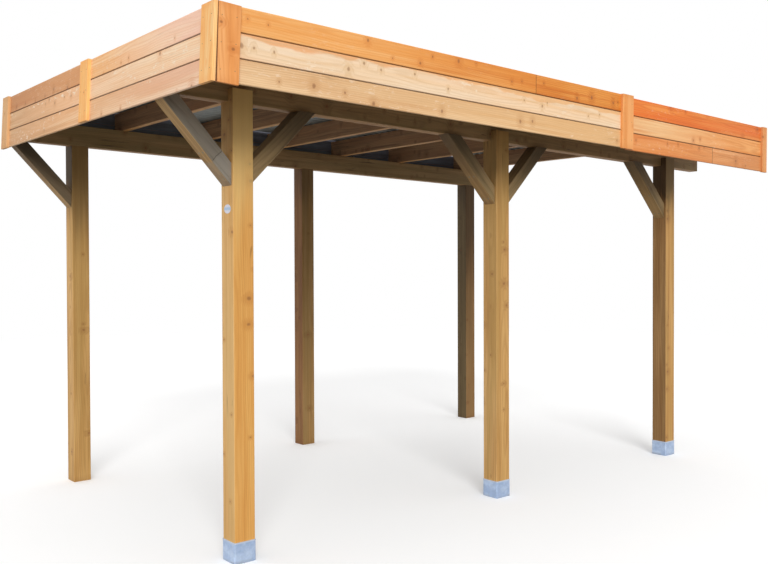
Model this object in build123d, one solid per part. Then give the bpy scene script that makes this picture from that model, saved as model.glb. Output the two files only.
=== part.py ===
from build123d import *
import os
from math import ceil, cos, radians, tan

# A flat-roofed timber carport: six posts, two beams, braces, rafters, corrugated sheets and a
# boarded fascia. Millimetres, +Z up. The origin is on the ground, in the middle of the overall
# length and width. The front is at -X, the near side at -Y. The roof falls towards +X.

# --- posts and their layout -----------------------------------------------------------------
post_size = 120.0
post_edge_radius = 5.0
row_spacing = 2215.0
post_pitch = 1940.0
row_names = {-1: "near", 1: "far"}
post_names = ["front", "middle", "rear"]

# --- roof plane -----------------------------------------------------------------------------
fall_angle = 1.0
clear_height = 2360.0
near_overhang = 530.0
far_overhang = 45.0
front_overhang = 400.0
rear_overhang = 410.0
far_beam_rear_overhang = 100.0

# --- beams and rafters ----------------------------------------------------------------------
beam_width = 75.0
beam_depth = 145.0
tongue_height = 63.0
rafter_width = 45.0
rafter_depth = 135.0
first_rafter_offset = 370.0
pitched_rafters = 5
last_rafter_bay = 840.0
rear_rafter_setback = 560.0
rafter_clearance = 1.5
rear_batten_width = 70.0
rear_batten_depth = 45.0
rear_batten_setback = 15.0
arris = 3.0

# --- braces ---------------------------------------------------------------------------------
brace_width = 90.0
brace_depth = 80.0
brace_setback = 15.0
brace_angle = 45.0
brace_drop = 412.0
front_brace_angle = 47.0
front_brace_drop = 430.0

# --- post shoes -----------------------------------------------------------------------------
shoe_height = 110.0
shoe_wall = 2.5
shoe_base = 4.0
shoe_clearance = 0.5
shoe_rim_height = 8.0
shoe_rim_depth = 1.5
shoe_rim_chamfer = 1.2

# --- fascia ---------------------------------------------------------------------------------
board_cover = 114.0
board_thickness = 20.0
board_lap = 12.0
lap_clearance = 1.0
groove_gap = 2.0
board_chamfer = 3.0
near_board_count = 3
far_board_count = 2
fascia_rise = 19.0
fascia_lean = 1.7
side_joint_offset = 2589.0
rear_panel_drop = 9.0
butt_gap = 1.5

# --- trims ----------------------------------------------------------------------------------
trim_width = 117.0
trim_thickness = 18.0
trim_edge_radius = 3.0
trim_drop = 6.0
end_trim_width = 65.0

# --- roof sheets ----------------------------------------------------------------------------
wave_pitch = 76.0
wave_height = 18.0
sheet_thickness = 1.0
sheet_count = 4
lap_half_waves = 3
lap_gap = 0.3
sheet_front_gap = 8.0
sheet_rear_gap = 10.0

# --- derived places -------------------------------------------------------------------------
fall = radians(fall_angle)
row_y = {-1: -row_spacing / 2, 1: row_spacing / 2}
outer_y = {-1: row_y[-1] - post_size / 2 - near_overhang, 1: row_y[1] + post_size / 2 + far_overhang}
inner_y = {side: y - side * board_thickness for side, y in outer_y.items()}
roof_middle_y = (outer_y[-1] + outer_y[1]) / 2
rear_post_reach = 2 * post_pitch + post_size
roof_front = -front_overhang
roof_rear = rear_post_reach + rear_overhang
beam_front = roof_front + board_thickness
fascia_height = near_board_count * board_cover
rafter_seat = beam_depth
rafter_top = beam_depth + rafter_depth
# The fascia's top edge stands above the rafters, and its lower edge hangs below the beams.
fascia_drop = fascia_height - rafter_top - fascia_rise
tongue_thickness = post_size - beam_width
rear_rafter_x = roof_rear - rear_rafter_setback
last_pitched_x = rear_rafter_x - last_rafter_bay
rafter_pitch = (last_pitched_x - first_rafter_offset) / (pitched_rafters - 1)
# A distance past everything: cuts that reach this far run right through.
beyond = 10000.0

# While it is drawn, x = 0 is the front posts' front face and y = 0 the middle between the rows.
# The roof frame: its origin lies under the beams at the front posts' front face, x runs down
# the fall and z stands square on the roof. The front frame leans back from it, with x = 0 on
# the front fascia's face and z = 0 along its lower edge.
roof_frame = Pos(0, 0, clear_height) * Rot(0, fall_angle, 0)
front_frame = roof_frame * Pos(roof_front, 0, -fascia_drop) * Rot(0, fascia_lean, 0)


def block(x_range, y_range, z_range):
    """A box between two values on each axis."""
    size = [high - low for low, high in (x_range, y_range, z_range)]
    corner = (x_range[0], y_range[0], z_range[0])
    return Pos(*corner) * Box(*size, align=Align.MIN)


def ease(solid, axis, amount):
    """Takes the sharp arris off the long edges of a timber that runs along an axis."""
    longest = solid.bounding_box().size
    length = {Axis.X: longest.X, Axis.Y: longest.Y, Axis.Z: longest.Z}[axis]
    edges = solid.edges().filter_by(axis).filter_by(lambda edge: edge.length > length / 2)
    return chamfer(edges, amount)


def side_range(side, inner, outer):
    """A y range from an inner to an outer distance, on the near (-1) or far (+1) side."""
    return tuple(sorted((side * inner, side * outer)))


def post_x(index):
    return post_size / 2 + index * post_pitch


def underside_z(x):
    """Height of the beams' underside above a place along the carport."""
    return clear_height - tan(fall) * x


# --- posts: square timbers, notched so that the beam rests on a shoulder behind a tongue ------
def make_post(side, index, foot):
    x = post_x(index)
    half = post_size / 2
    top = clear_height + tongue_height + post_size
    post = block((-half, half), (-half, half), (foot, top))
    post = fillet(post.edges().filter_by(Axis.Z), post_edge_radius)
    post = Pos(x, row_y[side], 0) * post
    inside, outside = row_spacing / 2 - post_size, row_spacing / 2 + half - tongue_thickness
    shoulder = side_range(side, inside, outside)
    notch = block((-beyond, beyond), shoulder, (0, beyond))
    above = block((-beyond, beyond), (-beyond, beyond), (tongue_height, beyond))
    return post - roof_frame * notch - roof_frame * above


# --- shoes: a square steel socket with a base plate, rounded corners and a turned-out rim -----
def make_shoe(index):
    inside = post_size + 2 * shoe_clearance
    outside = inside + 2 * shoe_wall
    rim = outside + 2 * shoe_rim_depth
    inner_radius = post_edge_radius + shoe_clearance
    outer_radius = inner_radius + shoe_wall
    shell = extrude(RectangleRounded(outside, outside, outer_radius), shoe_height)
    lip = extrude(RectangleRounded(rim, rim, outer_radius + shoe_rim_depth), shoe_rim_height)
    lip = chamfer(lip.faces().sort_by(Axis.Z)[0].edges(), shoe_rim_chamfer)
    shell = shell + Pos(0, 0, shoe_height - shoe_rim_height) * lip
    socket = extrude(RectangleRounded(inside, inside, inner_radius), shoe_height)
    shell = shell - Pos(0, 0, shoe_base) * socket
    return Pos(post_x(index), row_y[-1], 0) * shell


# --- beams: one timber over each row of posts ------------------------------------------------
def make_beam(side, rear):
    half = beam_width / 2
    beam = block((beam_front - board_thickness, rear), (-half, half), (0, beam_depth))
    beam = ease(beam, Axis.X, arris)
    y = row_y[side] + side * (post_size / 2 - tongue_thickness - half)
    beam = roof_frame * Pos(0, y, 0) * beam
    return beam - front_clearance()


def front_clearance():
    """All the space in front of the front fascia's inner face."""
    space = block((-beyond, board_thickness), (-beyond, beyond), (-beyond, beyond))
    return front_frame * space


# --- braces: from a post's front or rear face up to the underside of the beam -----------------
def make_brace(side, index, direction):
    is_front = index == 0 and direction < 0
    angle = radians(front_brace_angle if is_front else brace_angle)
    drop = front_brace_drop if is_front else brace_drop
    x = post_x(index) + direction * post_size / 2
    low = underside_z(x) - drop
    foot_height = brace_depth / cos(angle)
    corners = [(x, low)]
    for start in (low, low + foot_height):
        run = (underside_z(x) - start) / (tan(angle) + direction * tan(fall))
        corners.append((x + direction * run, start + run * tan(angle)))
    corners.append((x, low + foot_height))
    outline = Polyline([(cx, 0, cz) for cx, cz in corners], close=True)
    brace = extrude(make_face(outline), brace_width / 2, dir=(0, 1, 0), both=True)
    long_edges = brace.edges().filter_by(lambda edge: edge.length > brace_drop)
    brace = chamfer(long_edges, arris)
    y = row_y[side] + side * (post_size - brace_width) / 2 - side * brace_setback
    return Pos(0, y, 0) * brace - front_clearance()


# --- rafters: on edge across both beams, from side fascia to side fascia ---------------------
def make_rafter(x):
    """A rafter whose front face stands at x in the roof frame."""
    rafter = block((x, x + rafter_width), (inner_y[-1], inner_y[1]), (rafter_seat, rafter_top))
    return roof_frame * ease(rafter, Axis.Y, arris)


def front_rafter_x():
    """The foremost rafter touches the leaning front fascia with its top edge."""
    height = rafter_top + fascia_drop
    return beam_front + height * tan(radians(fascia_lean)) + rafter_clearance


def make_rear_batten():
    x = roof_rear - rear_batten_setback - rear_batten_width
    low = rafter_top - rear_batten_depth
    batten = block((x, x + rear_batten_width), (inner_y[-1], inner_y[1]), (low, rafter_top))
    return roof_frame * ease(batten, Axis.Y, arris)


# --- fascia boards: rebated boards that lap each other, drawn in section ---------------------
def board_section(is_top):
    """Board outline as (depth, height), with depth 0 on the outer face and height 0 at its foot."""
    half = board_thickness / 2
    cut = board_chamfer
    top = board_cover if is_top else board_cover - groove_gap
    points = [(cut, 0), (0, cut), (0, top - cut), (cut, top)]
    if is_top:
        points += [(board_thickness, board_cover)]
    else:
        tongue_face = half + lap_clearance
        tongue_top = board_cover + board_lap
        points += [(tongue_face, top), (tongue_face, tongue_top), (board_thickness, tongue_top)]
    foot = board_lap + lap_clearance
    return points + [(board_thickness, foot), (half, foot), (half, 0)]


def make_boards(length, count):
    """The upper boards of a panel, from x = 0 to length, with the outer face on y = 0."""
    boards = []
    for row in range(near_board_count - count, near_board_count):
        section = board_section(row == near_board_count - 1)
        outline = Polyline([(0, depth, z) for depth, z in section], close=True)
        board = extrude(make_face(outline), length, dir=(1, 0, 0))
        boards.append(Pos(0, 0, row * board_cover) * board)
    return boards


def side_fascia(side, x_start, x_end, count, drop):
    """A panel of boards on the near or far side, in the roof frame."""
    boards = make_boards(x_end - x_start, count)
    if side > 0:
        boards = [mirror(board, Plane.XZ) for board in boards]
    place = roof_frame * Pos(x_start, outer_y[side], -fascia_drop - drop)
    return Compound([place * board for board in boards])


def front_fascia(y_start, y_end):
    """A panel of boards on the front, in the front frame."""
    boards = make_boards(y_end - y_start, near_board_count)
    place = front_frame * Pos(0, y_end, 0) * Rot(0, 0, -90)
    return Compound([place * board for board in boards])


def trimmed(panel):
    """The panel's boards cut off at the front fascia's inner face."""
    return Compound([board - front_clearance() for board in panel.solids()])


# --- trims: boards that cover the corners and joints of the fascia ---------------------------
def make_trim(width, height):
    """An upright board on y = 0 that stands out towards -y, from x = 0 to width."""
    trim = block((0, width), (-trim_thickness, 0), (0, height))
    uprights = trim.edges().filter_by(Axis.Z).group_by(Axis.Y)[0]
    return fillet(uprights, trim_edge_radius)


def side_trim(frame, side, x, width, boards):
    """A trim on a side fascia, as tall as the boards it covers and a little lower."""
    low = (near_board_count - boards) * board_cover - trim_drop
    trim = make_trim(width, fascia_height - low)
    if side > 0:
        trim = mirror(trim, Plane.XZ)
    return frame * Pos(x, outer_y[side], low) * trim


def front_trim(y_low, drop):
    """A trim on the front fascia, with its lower side edge at y_low."""
    trim = make_trim(trim_width, fascia_height + drop)
    return front_frame * Pos(0, y_low + trim_width, -drop) * Rot(0, 0, -90) * trim


# --- corrugated roof sheets ------------------------------------------------------------------
half_pitch = wave_pitch / 2
arc_rise = wave_height / 2
arc_radius = (half_pitch ** 2 / 4 + arc_rise ** 2) / (2 * arc_rise)
flank_cos = (arc_radius - arc_rise) / arc_radius
lap_lift = sheet_thickness / flank_cos + lap_gap
# As many half waves as fit between the side fascias, shared out among the sheets.
half_wave_total = int((inner_y[1] - inner_y[-1]) / half_pitch)
half_wave_step = ceil((half_wave_total - lap_half_waves) / sheet_count)


def wave_points(index, offset):
    """Start, middle and end of one half wave, offset square to the sheet's middle surface."""
    bow = 1 if index % 2 == 0 else -1
    start = index * half_pitch
    side_shift = bow * offset * (half_pitch / 2) / arc_radius
    lift = offset * flank_cos
    middle = (start + half_pitch / 2, bow * arc_rise + offset)
    end = start + half_pitch + side_shift
    return [(start - side_shift, lift), middle, (end, lift)]


def sheet_face(first, last):
    """The corrugated section of the half waves from first up to last, as a face in the YZ plane."""
    edges = []
    ends = {}
    for offset in (-sheet_thickness / 2, sheet_thickness / 2):
        for index in range(first, last):
            points = [(0, y, z) for y, z in wave_points(index, offset)]
            edges.append(ThreePointArc(*points))
            ends.setdefault(offset, [points[0]])
        ends[offset].append(points[2])
    (low_start, low_end), (high_start, high_end) = ends.values()
    edges += [Line(low_start, high_start), Line(low_end, high_end)]
    return make_face(edges)


def make_sheet(number):
    first = number * half_wave_step
    last = min(first + half_wave_step + lap_half_waves, half_wave_total)
    start_x = front_rafter_x() + sheet_front_gap
    length = roof_rear - sheet_rear_gap - start_x
    seat = rafter_top + arc_rise + sheet_thickness / 2 + (number % 2) * lap_lift
    sheet = extrude(sheet_face(first, last), length, dir=(1, 0, 0))
    start_y = roof_middle_y - half_wave_total * half_pitch / 2
    return roof_frame * Pos(start_x, start_y, seat) * sheet


# --- the assembly ----------------------------------------------------------------------------
nodes = {}
for side, row_name in row_names.items():
    for index, post_name in enumerate(post_names):
        foot = shoe_base if side < 0 else 0.0
        nodes[f"{row_name}_post_{post_name}"] = make_post(side, index, foot)
for index, post_name in enumerate(post_names):
    nodes[f"post_shoe_{post_name}"] = make_shoe(index)

nodes["near_beam"] = make_beam(-1, roof_rear)
nodes["far_beam"] = make_beam(1, rear_post_reach + far_beam_rear_overhang)

brace_places = {
    "near_brace_front_forward": (-1, 0, -1),
    "near_brace_front_back": (-1, 0, 1),
    "near_brace_middle_forward": (-1, 1, -1),
    "near_brace_middle_back": (-1, 1, 1),
    "near_brace_rear_forward": (-1, 2, -1),
    "far_brace_front_forward": (1, 0, -1),
}
for name, (side, index, direction) in brace_places.items():
    nodes[name] = make_brace(side, index, direction)

nodes["rafter_front"] = make_rafter(front_rafter_x())
for number in range(pitched_rafters):
    x = first_rafter_offset + number * rafter_pitch
    nodes[f"rafter_{number + 1}"] = make_rafter(x)
nodes["rafter_rear"] = make_rafter(rear_rafter_x)
nodes["rear_batten"] = make_rear_batten()

for number in range(sheet_count):
    nodes[f"roof_sheet_{number + 1}"] = make_sheet(number)

half_gap = butt_gap / 2
nodes["front_fascia_near"] = front_fascia(outer_y[-1], roof_middle_y - half_gap)
nodes["front_fascia_far"] = front_fascia(roof_middle_y + half_gap, outer_y[1])
front_joint = side_joint_offset - half_gap
rear_joint = side_joint_offset + half_gap
for side, count in ((-1, near_board_count), (1, far_board_count)):
    row_name = row_names[side]
    panel = side_fascia(side, beam_front - board_thickness, front_joint, count, 0)
    nodes[f"{row_name}_fascia_front"] = trimmed(panel)
    nodes[f"{row_name}_fascia_rear"] = side_fascia(side, rear_joint, roof_rear, count, rear_panel_drop)
    nodes[f"{row_name}_corner_board_side"] = side_trim(front_frame, side, 0, trim_width, count)
    middle_x = side_joint_offset - trim_width / 2
    level = roof_frame * Pos(0, 0, -fascia_drop)
    nodes[f"{row_name}_batten_middle"] = side_trim(level, side, middle_x, trim_width, count)
    end_level = level * Pos(0, 0, -rear_panel_drop)
    end_x = roof_rear - end_trim_width
    nodes[f"{row_name}_batten_rear"] = side_trim(end_level, side, end_x, end_trim_width, count)

nodes["near_corner_board_front"] = front_trim(outer_y[-1] - trim_thickness, trim_drop)
nodes["front_batten_middle"] = front_trim(roof_middle_y - trim_width / 2, 0)
nodes["far_corner_board_front"] = front_trim(outer_y[1] + trim_thickness - trim_width, trim_drop)

# The origin goes to the middle of the overall length and width, at ground level.
overall = Compound(list(nodes.values())).bounding_box()
centre = Pos(-overall.center().X, -overall.center().Y, 0)

os.makedirs("parts", exist_ok=True)
for name, shape in nodes.items():
    export_step(centre * shape, f"parts/{name}.step")
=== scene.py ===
import math
import bmesh
import bpy
from mathutils import Matrix, Vector


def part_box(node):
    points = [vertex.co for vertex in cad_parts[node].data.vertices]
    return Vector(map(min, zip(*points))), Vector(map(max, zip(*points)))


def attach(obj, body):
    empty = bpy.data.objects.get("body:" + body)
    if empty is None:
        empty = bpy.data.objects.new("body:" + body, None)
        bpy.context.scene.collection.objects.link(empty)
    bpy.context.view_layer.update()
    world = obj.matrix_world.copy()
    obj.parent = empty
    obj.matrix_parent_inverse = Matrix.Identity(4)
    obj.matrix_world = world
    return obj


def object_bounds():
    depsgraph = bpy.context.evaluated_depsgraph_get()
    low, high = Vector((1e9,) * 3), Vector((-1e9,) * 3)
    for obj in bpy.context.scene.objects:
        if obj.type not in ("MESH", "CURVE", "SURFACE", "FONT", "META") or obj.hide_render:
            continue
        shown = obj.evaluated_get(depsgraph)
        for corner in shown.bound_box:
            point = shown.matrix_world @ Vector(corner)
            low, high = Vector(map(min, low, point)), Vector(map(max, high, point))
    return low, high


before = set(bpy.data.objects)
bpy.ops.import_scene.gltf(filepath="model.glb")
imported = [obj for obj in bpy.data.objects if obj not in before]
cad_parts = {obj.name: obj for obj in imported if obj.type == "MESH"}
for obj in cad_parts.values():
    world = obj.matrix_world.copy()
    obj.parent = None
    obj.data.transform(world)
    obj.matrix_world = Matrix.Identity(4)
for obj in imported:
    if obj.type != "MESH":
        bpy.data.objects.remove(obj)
cad_low, cad_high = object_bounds()

# The looks of a timber carport: planed softwood with knots, grain and weathering, galvanised post
# shoes and coated roof sheets. Metres, in the frame of the CAD part: front at -X, near side at -Y.

# --- sizes and names that the looks follow ---
ROOF_FALL = math.radians(1.0)
FASCIA_LEAN = math.radians(1.7)
BRACE_TILT = math.radians(45)
BOARD_COVER = 0.114
WAVE_PITCH = 0.076
BEAM_HALF_HEIGHT = 0.0725
BRACE_HALF = (0.30, 0.045, 0.040)
RAFTERS = ["rafter_front", *[f"rafter_{n}" for n in range(1, 6)], "rafter_rear"]
SHEETS = [f"roof_sheet_{n}" for n in range(1, 5)]

# Turns that lay a timber's own x along the object.
UPRIGHT = (0.0, math.radians(-90), 0.0)
ALONG_ROOF = (0.0, ROOF_FALL, 0.0)
ACROSS_ROOF = (0.0, 0.0, math.radians(90))

# Ways that faces look.
TO_NEAR_SIDE, UPWARD, DOWNWARD = (0.0, -1.0, 0.0), (0.0, 0.0, 1.0), (0.0, 0.0, -1.0)

# --- camera, at the viewing angle of the picture ---
CAMERA_PLACE = Vector((-4.2648, -4.8436, 1.5391))
CAMERA_HEADING = math.radians(50.253)
CAMERA_PITCH = math.radians(-0.797)
CAMERA_ROLL = math.radians(-0.1795)
CAMERA_SENSOR, CAMERA_LENS = 36.0, 41.30
CAMERA_SHIFT = -0.0100
CAMERA_REACH = 200.0


def rgb(red, green, blue):
    """A colour given as it looks on a screen, 0 to 255, as the linear values a shader takes."""
    def linear(value):
        part = value / 255
        return part / 12.92 if part <= 0.04045 else ((part + 0.055) / 1.055) ** 2.4
    return (linear(red), linear(green), linear(blue), 1.0)


# --- small helpers to build node trees ---
def put(tree, kind, inputs=None, **settings):
    """Adds a node, sets its settings, and gives each input a value or a link."""
    node = tree.nodes.new(kind)
    for key, value in settings.items():
        setattr(node, key, value)
    for key, value in (inputs or {}).items():
        feed(tree, node.inputs[key], value)
    return node


def feed(tree, socket, value):
    if isinstance(value, bpy.types.NodeSocket):
        tree.links.new(value, socket)
    else:
        socket.default_value = value


def calc(tree, operation, *values):
    return put(tree, "ShaderNodeMath", dict(enumerate(values)), operation=operation).outputs[0]


def times(tree, first, second):
    return calc(tree, "MULTIPLY", first, second)


def minus(tree, first, second):
    return calc(tree, "SUBTRACT", first, second)


def scale_add(tree, value, factor, offset):
    """value times factor, plus offset."""
    return calc(tree, "MULTIPLY_ADD", value, factor, offset)


def size_of(tree, value):
    return calc(tree, "ABSOLUTE", value)


def vector_calc(tree, operation, *values):
    node = put(tree, "ShaderNodeVectorMath", dict(enumerate(values)), operation=operation)
    return node.outputs[0]


def length_of(tree, vector):
    node = put(tree, "ShaderNodeVectorMath", {0: vector}, operation="LENGTH")
    return node.outputs["Value"]


def scaled(tree, place, x, y, z):
    return vector_calc(tree, "MULTIPLY", place, (x, y, z))


def axes(tree, vector):
    """The x, y and z of a vector."""
    return put(tree, "ShaderNodeSeparateXYZ", {0: vector}).outputs


def channels(tree, colour):
    """The red, green and blue of a colour."""
    return put(tree, "ShaderNodeSeparateColor", {0: colour}).outputs


def joined(tree, x, y, z=0.0):
    return put(tree, "ShaderNodeCombineXYZ", {0: x, 1: y, 2: z}).outputs[0]


def object_place(tree):
    """The place on the object, in metres."""
    return put(tree, "ShaderNodeTexCoord").outputs["Object"]


def step(tree, value, low, high):
    """0 below low, 1 above high and smooth between; low may be above high for a falling step."""
    inputs = {"Value": value, "From Min": low, "From Max": high}
    return put(tree, "ShaderNodeMapRange", inputs, interpolation_type="SMOOTHSTEP").outputs[0]


def noise(tree, place, scale, detail=2.0, roughness=0.5, distortion=0.0):
    inputs = {"Vector": place, "Scale": scale, "Detail": detail, "Roughness": roughness,
              "Distortion": distortion}
    return put(tree, "ShaderNodeTexNoise", inputs).outputs[0]


def streaks(tree, place, along, across, detail=2.0, roughness=0.5, distortion=0.0):
    """Noise with one scale along x and another across it."""
    place = scaled(tree, place, along, across, across)
    return noise(tree, place, 1.0, detail, roughness, distortion)


def mix(tree, share, first, second, blend="MIX"):
    inputs = {0: share, 6: first, 7: second}
    return put(tree, "ShaderNodeMix", inputs, data_type="RGBA", blend_type=blend).outputs[2]


def mix_numbers(tree, share, first, second):
    return put(tree, "ShaderNodeMix", {0: share, 2: first, 3: second}).outputs[0]


def toned(tree, colour, tone):
    """The colour times a number."""
    grey = put(tree, "ShaderNodeCombineColor", {0: tone, 1: tone, 2: tone}).outputs[0]
    return mix(tree, 1.0, colour, grey, "MULTIPLY")


def bump(tree, height, strength, distance):
    inputs = {"Height": height, "Strength": strength, "Distance": distance}
    return put(tree, "ShaderNodeBump", inputs).outputs[0]


def face_share(tree, direction, low=0.6, high=0.9):
    """1 on the faces that look along a direction of the object, 0 on the others."""
    inputs = {0: put(tree, "ShaderNodeTexCoord").outputs["Normal"], 1: direction}
    facing = put(tree, "ShaderNodeVectorMath", inputs, operation="DOT_PRODUCT").outputs["Value"]
    return step(tree, facing, low, high)


def new_material(name):
    """A material with its tree, its shader and the place on the object in metres."""
    material = bpy.data.materials.new(name)
    material.use_nodes = True
    tree = material.node_tree
    return material, tree, tree.nodes["Principled BSDF"], object_place(tree)


def coat(tree, shader, colour, rough, grain, depth, metallic=0.0):
    """The colour, roughness, grain and metal share of a finish that isn't timber. depth is the
    strength and the distance of the bump."""
    feed(tree, shader.inputs["Base Color"], colour)
    feed(tree, shader.inputs["Roughness"], rough)
    feed(tree, shader.inputs["Normal"], bump(tree, grain, *depth))
    shader.inputs["Metallic"].default_value = metallic


# --- timber ---
GREY_COLOUR, FLECK_COLOUR, SHAKE_COLOUR = rgb(132, 124, 113), rgb(252, 236, 214), rgb(60, 36, 20)
KNOT_HEART, KNOT_RIM, KNOT_STRENGTH = rgb(104, 62, 36), rgb(150, 94, 54), 0.55
# How far a seed shifts the patterns, and what keeps the knots of one face off the others.
SEED_SHIFT = (9.0, 7.0, 8.0)
SIDE_SHIFT, TOP_SHIFT = 5.0, 3.3
# Knots sit in cells of 1/9 m, drawn out along the timber and more so across it. Their radii are
# parts of a cell.
KNOT_CELLS, KNOT_STRETCH = 9.0, (0.92, 0.74, 1.0)
KNOT_LEAST, KNOT_SPREAD, HALO_REACH = 0.045, 0.075, 3.8
RINGS_PER_METRE = 95.0
# How far in from its edges and ends a timber is rubbed or soaked.
RUBBED_WIDTH, SOAKED_WIDTH = 0.007, 0.05
TIMBER_INPUTS = {
    "NodeSocketVector": ("Place",),
    "NodeSocketColor": ("Pale", "Base", "Deep", "Tint"),
    "NodeSocketFloat": ("Seed", "Tint Amount", "Knots", "Grey", "Shakes", "Flecks", "Half Length",
                        "Half Depth", "Half Height"),
}


def find_knots(tree, given, draw, shifted):
    """Knots, the halo round each, and 0 at a knot's heart to 1 near its rim. The pattern is flat on
    each face, so that every cell that is kept shows its knot whole."""
    x, y, z = axes(tree, given["Place"])
    on_top = calc(tree, "GREATER_THAN", size_of(tree, z), minus(tree, given["Half Height"], 0.002))
    wide = scale_add(tree, on_top, minus(tree, y, z), z)
    side = scale_add(tree, on_top, TOP_SHIFT, calc(tree, "SIGN", y))
    flat = joined(tree, x, scale_add(tree, side, SIDE_SHIFT, wide))
    flat = vector_calc(tree, "MULTIPLY_ADD", draw, SEED_SHIFT, flat)
    inputs = {"Vector": scaled(tree, flat, *KNOT_STRETCH), "Scale": KNOT_CELLS}
    cells = put(tree, "ShaderNodeTexVoronoi", inputs, voronoi_dimensions="2D")
    uneven = times(tree, minus(tree, noise(tree, shifted, 60.0), 0.5), 0.06)
    distance = calc(tree, "ADD", cells.outputs["Distance"], uneven)
    size, luck, _ = channels(tree, cells.outputs["Color"])
    radius = scale_add(tree, times(tree, size, size), KNOT_SPREAD, KNOT_LEAST)
    kept = calc(tree, "LESS_THAN", luck, given["Knots"])
    knot = times(tree, kept, step(tree, distance, radius, times(tree, radius, 0.4)))
    halo = times(tree, kept, step(tree, distance, times(tree, radius, HALO_REACH), radius))
    rim = step(tree, distance, 0.0, times(tree, radius, 0.8))
    return knot, halo, rim


def grow_rings(tree, given, draw, shifted, halo):
    """The dark latewood of growth rings about a pith that wanders; they bow round the knots."""
    pith = vector_calc(tree, "SUBTRACT", draw, (0.5, 0.5, 0.5))
    pith = scaled(tree, pith, 0.0, 0.16, 0.16)
    drift = streaks(tree, shifted, 1.1, 4.0)
    across = vector_calc(tree, "ADD", scaled(tree, given["Place"], 0.0, 1.0, 1.0), pith)
    rings = times(tree, length_of(tree, across), RINGS_PER_METRE)
    rings = scale_add(tree, drift, 7.0, rings)
    rings = scale_add(tree, halo, 1.1, rings)
    rings = scale_add(tree, streaks(tree, shifted, 3.0, 45.0), 0.7, rings)
    wave = calc(tree, "SINE", times(tree, rings, math.tau))
    return step(tree, wave, -0.2, 1.0)


def make_timber_group():
    """Grain, knots, shakes, worn edges and weathering of one timber that runs along its own x."""
    tree = bpy.data.node_groups.new("timber", "ShaderNodeTree")
    for kind, names in TIMBER_INPUTS.items():
        for name in names:
            tree.interface.new_socket(name, in_out="INPUT", socket_type=kind)
    for name, kind in (("Color", "NodeSocketColor"), ("Roughness", "NodeSocketFloat"),
                       ("Height", "NodeSocketFloat")):
        tree.interface.new_socket(name, in_out="OUTPUT", socket_type=kind)
    given = tree.nodes.new("NodeGroupInput").outputs
    result = tree.nodes.new("NodeGroupOutput").inputs

    inputs = {"W": given["Seed"]}
    draw = put(tree, "ShaderNodeTexWhiteNoise", inputs, noise_dimensions="1D").outputs["Color"]
    shifted = vector_calc(tree, "MULTIPLY_ADD", draw, SEED_SHIFT, given["Place"])
    knot, halo, rim = find_knots(tree, given, draw, shifted)
    latewood = grow_rings(tree, given, draw, shifted, halo)
    streak = streaks(tree, shifted, 0.9, 34.0, 4.0, 0.62)
    fibre = streaks(tree, shifted, 9.0, 620.0, 2.0, 0.6)
    blotch = streaks(tree, shifted, 1.3, 7.0, 3.0, 0.55)
    fade = streaks(tree, shifted, 0.55, 9.0, 3.0, 0.5, 0.4)

    pale_share = step(tree, scale_add(tree, blotch, 0.7, streak), 0.72, 1.02)
    colour = mix(tree, pale_share, given["Base"], given["Pale"])
    deep_share = times(tree, step(tree, streak, 0.5, 0.28), 0.45)
    deep_share = scale_add(tree, latewood, 0.30, deep_share)
    colour = mix(tree, deep_share, colour, given["Deep"])
    tint_share = times(tree, given["Tint Amount"], step(tree, fade, 0.40, 0.62))
    colour = mix(tree, tint_share, colour, given["Tint"])

    # Pale flecks where the planer tore the grain.
    torn = noise(tree, scaled(tree, shifted, 26.0, 120.0, 70.0), 1.0, 3.0, 0.7, 0.5)
    patch = step(tree, streaks(tree, shifted, 2.2, 9.0), 0.50, 0.62)
    fleck = times(tree, times(tree, step(tree, torn, 0.56, 0.66), patch), given["Flecks"])
    colour = mix(tree, fleck, colour, FLECK_COLOUR)

    # Weathering: grey where rain and sun reach, in streaks.
    grey = times(tree, given["Grey"], step(tree, streak, 0.30, 0.62))
    colour = mix(tree, grey, colour, GREY_COLOUR)

    colour = toned(tree, colour, scale_add(tree, fibre, 0.26, 0.87))
    colour = mix(tree, times(tree, halo, 0.42), colour, given["Deep"])
    knot_colour = mix(tree, rim, KNOT_HEART, KNOT_RIM)
    colour = mix(tree, times(tree, knot, KNOT_STRENGTH), colour, knot_colour)

    # Drying shakes: hair-thin splits along the grain.
    line = streaks(tree, shifted, 0.7, 26.0)
    line = size_of(tree, minus(tree, line, 0.5))
    where = streaks(tree, shifted, 1.6, 6.0, 1.0)
    shake = times(tree, step(tree, line, 0.007, 0.002), step(tree, where, 0.54, 0.62))
    shake = times(tree, shake, given["Shakes"])
    colour = mix(tree, shake, colour, SHAKE_COLOUR)

    # Edges rubbed pale, and ends that soak up water.
    reaches = (("Half Length", SOAKED_WIDTH), ("Half Depth", RUBBED_WIDTH),
               ("Half Height", RUBBED_WIDTH))
    soaked, by_depth, by_height = [
        step(tree, minus(tree, size_of(tree, along), given[name]), -width, 0.0)
        for along, (name, width) in zip(axes(tree, given["Place"]), reaches)]
    rubbed = times(tree, times(tree, by_depth, by_height), step(tree, blotch, 0.35, 0.6))
    colour = mix(tree, times(tree, rubbed, 0.42), colour, given["Pale"])
    colour = mix(tree, times(tree, soaked, 0.30), colour, given["Deep"])

    rough = scale_add(tree, streak, 0.30, 0.50)
    rough = scale_add(tree, knot, -0.12, rough)
    rough = scale_add(tree, rubbed, -0.06, rough)
    height = scale_add(tree, latewood, 0.45, times(tree, fibre, 0.45))
    height = scale_add(tree, knot, 0.4, height)
    height = scale_add(tree, shake, -1.6, height)
    for name, value in (("Color", colour), ("Roughness", rough), ("Height", height)):
        tree.links.new(value, result[name])
    return tree


TIMBER = make_timber_group()
TIMBER_BUMP, TIMBER_GLOSS = (0.55, 0.0009), 0.28


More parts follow.
